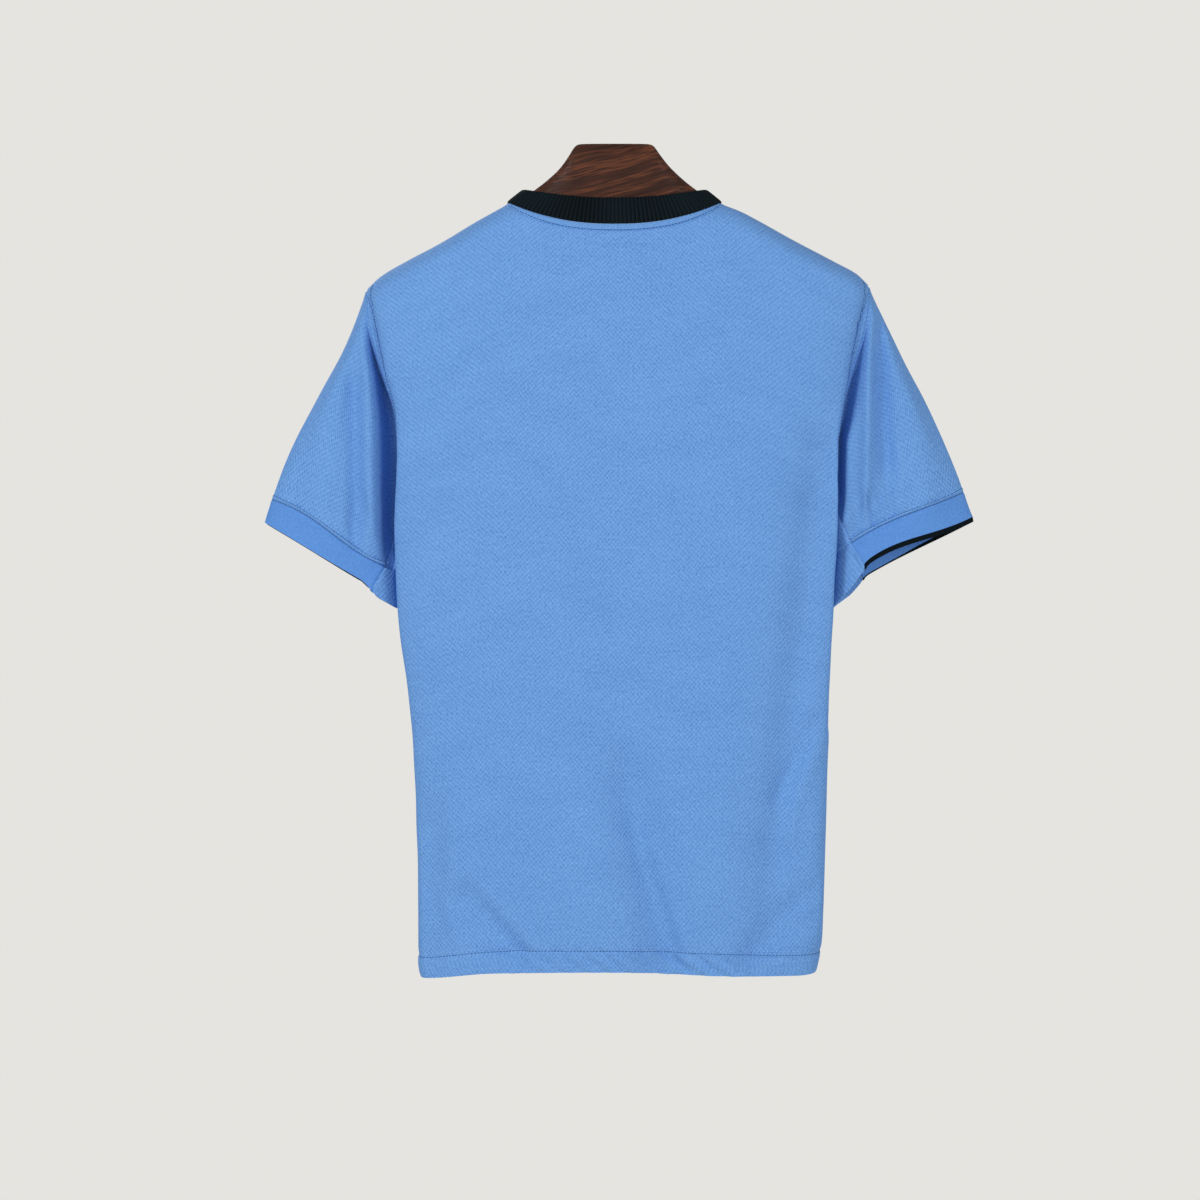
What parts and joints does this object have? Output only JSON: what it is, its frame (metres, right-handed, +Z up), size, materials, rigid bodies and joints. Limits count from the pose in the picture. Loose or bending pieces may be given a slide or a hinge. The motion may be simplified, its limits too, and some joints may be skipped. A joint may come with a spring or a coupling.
{
  "type": "football jersey on a wooden hanger",
  "caption": "Short-sleeved football jersey with a black rib crew collar and edged cuffs, hanging open on a contoured wooden hanger.",
  "frame": {"origin": "middle of the flat top of the hanger's neck, where a hook or fitting holds it", "axes": "+Z up, +Y towards the garment's back, +X towards the wearer's left sleeve"},
  "size_m": [0.655, 0.1026, 0.7703],
  "materials": {
    "body_knit": "matt micro-mesh knit",
    "cuff_knit": "matt fine knit",
    "edging": "matt black knit",
    "rib": "matt black rib knit",
    "wood": "satin lacquered dark red-brown wood"
  },
  "bodies": {
    "root": {"back_panel": "body_knit", "front_panel": "body_knit", "sleeve_left": "body_knit", "sleeve_right": "body_knit", "gusset_left": "body_knit", "gusset_right": "body_knit", "cuff_left": "cuff_knit", "cuff_right": "cuff_knit", "edging_left": "edging", "edging_right": "edging", "collar": "rib", "hanger": "wood"}
  },
  "joints": []
}
